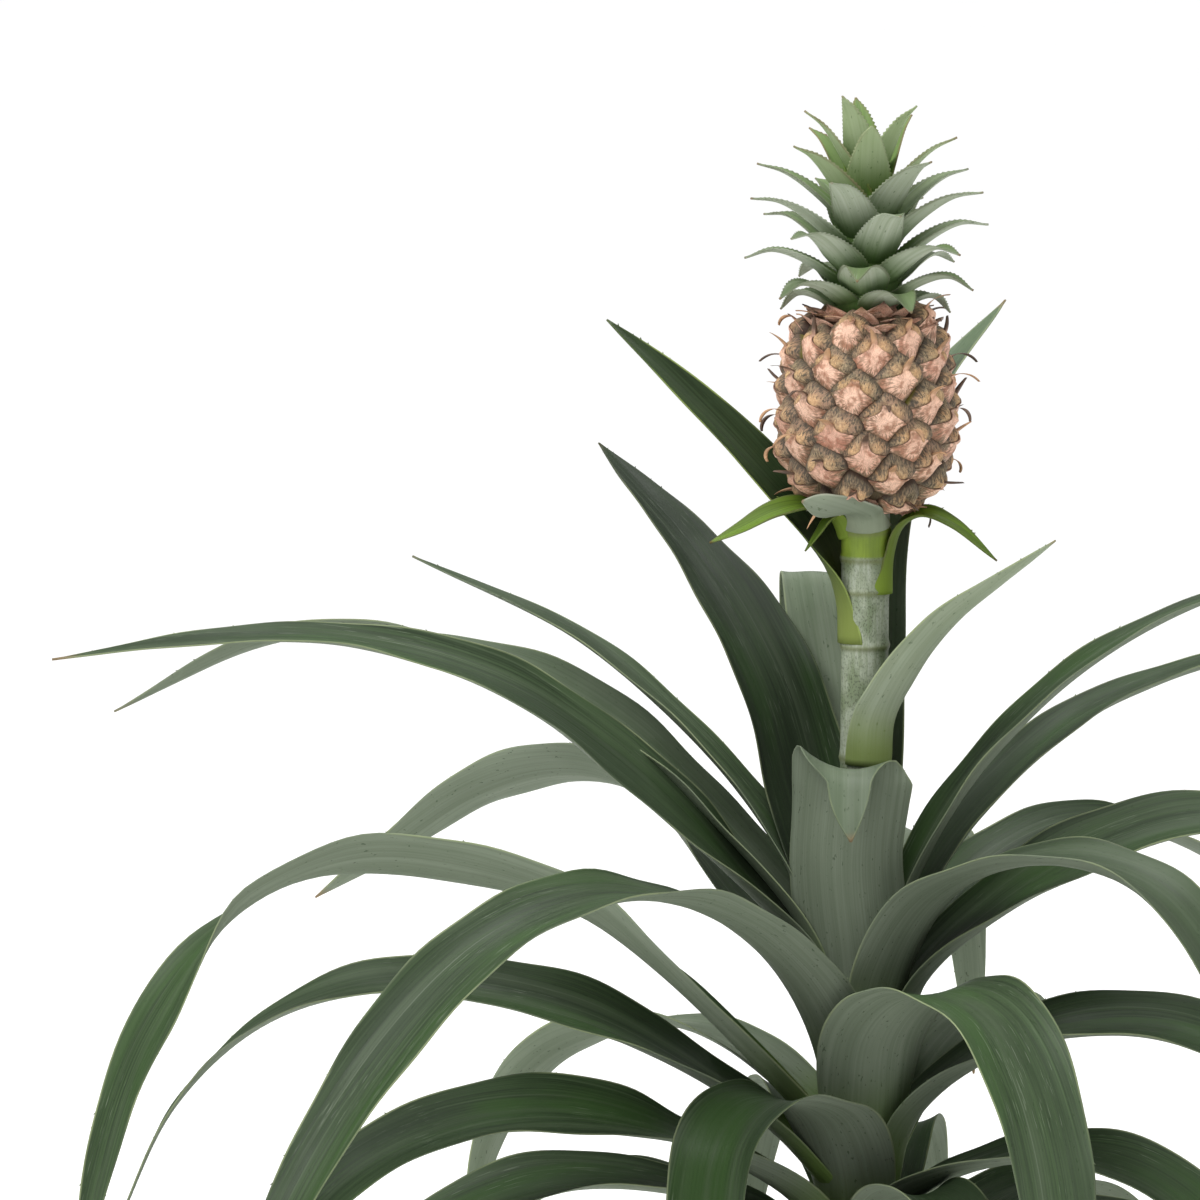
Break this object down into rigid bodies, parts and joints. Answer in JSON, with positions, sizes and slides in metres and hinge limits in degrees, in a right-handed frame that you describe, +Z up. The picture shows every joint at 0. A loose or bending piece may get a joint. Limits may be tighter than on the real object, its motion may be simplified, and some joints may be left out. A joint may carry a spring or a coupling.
{
  "type": "potted pineapple plant",
  "caption": "Potted pineapple plant: arching channelled leaves round a short stem and a flower stalk with a small ripe fruit and its leafy crown, in a plain round tapered pot.",
  "frame": {"origin": "middle of the pot's flat underside, on the surface that it stands on", "axes": "+Z up along the stem and the pot's axis, -Y towards the plant's front, +X to the right seen from the front"},
  "size_m": [0.5856, 0.4297, 0.6317],
  "materials": {
    "pot": "matt, plain",
    "soil": "crumbly potting soil",
    "stalk": "waxy grey-green",
    "stalk_leaf": "satin green",
    "leaf": "satin dark green, paler waxy underside",
    "crown": "waxy grey-green",
    "fruit": "rough, pinkish brown"
  },
  "bodies": {
    "root": {"pot": "pot", "soil": "soil", "stem": "stalk", "stalk_leaf_left": "stalk_leaf", "stalk_leaf_right": "stalk_leaf", "bract_left": "stalk_leaf", "bract_right": "stalk_leaf", "bract_front": "stalk_leaf", "bract_small": "stalk_leaf", "leaf_01_front_sheath": "leaf", "leaf_02_back_fold": "leaf", "leaf_03_behind_fruit": "leaf", "leaf_04_tall_left": "leaf", "leaf_05_narrow_left": "leaf", "leaf_06_thin_right": "leaf", "leaf_07_right_arch": "leaf", "leaf_08_long_left": "leaf", "leaf_09_left_back": "leaf", "leaf_10_back_left": "leaf", "leaf_11_back_right_fold": "leaf", "leaf_12_right_back": "leaf", "leaf_13_right_front": "leaf", "leaf_14_dark_right": "leaf", "leaf_15_twisted_left": "leaf", "leaf_16_wide_front_left": "leaf", "leaf_17_front_right": "leaf", "leaf_18_left_low_arch": "leaf", "leaf_19_pale_back": "leaf", "leaf_20_right_low_arch": "leaf", "leaf_21_back_middle": "leaf", "leaf_22_back_right_low": "leaf", "leaf_23_bottom_front_left": "leaf", "leaf_24_low_left": "leaf", "leaf_25_back_left_low": "leaf", "leaf_26_right_bottom": "leaf", "leaf_27_front_bottom": "leaf", "leaf_28_right_mid_low": "leaf", "leaf_29_left_bottom": "leaf", "leaf_30_back_low": "leaf", "leaf_31_left_back_low": "leaf", "leaf_32_right_low": "leaf", "leaf_33_front_left_low": "leaf", "leaf_34_front_right_low": "leaf", "crown": "crown", "fruit": "fruit"}
  },
  "joints": []
}
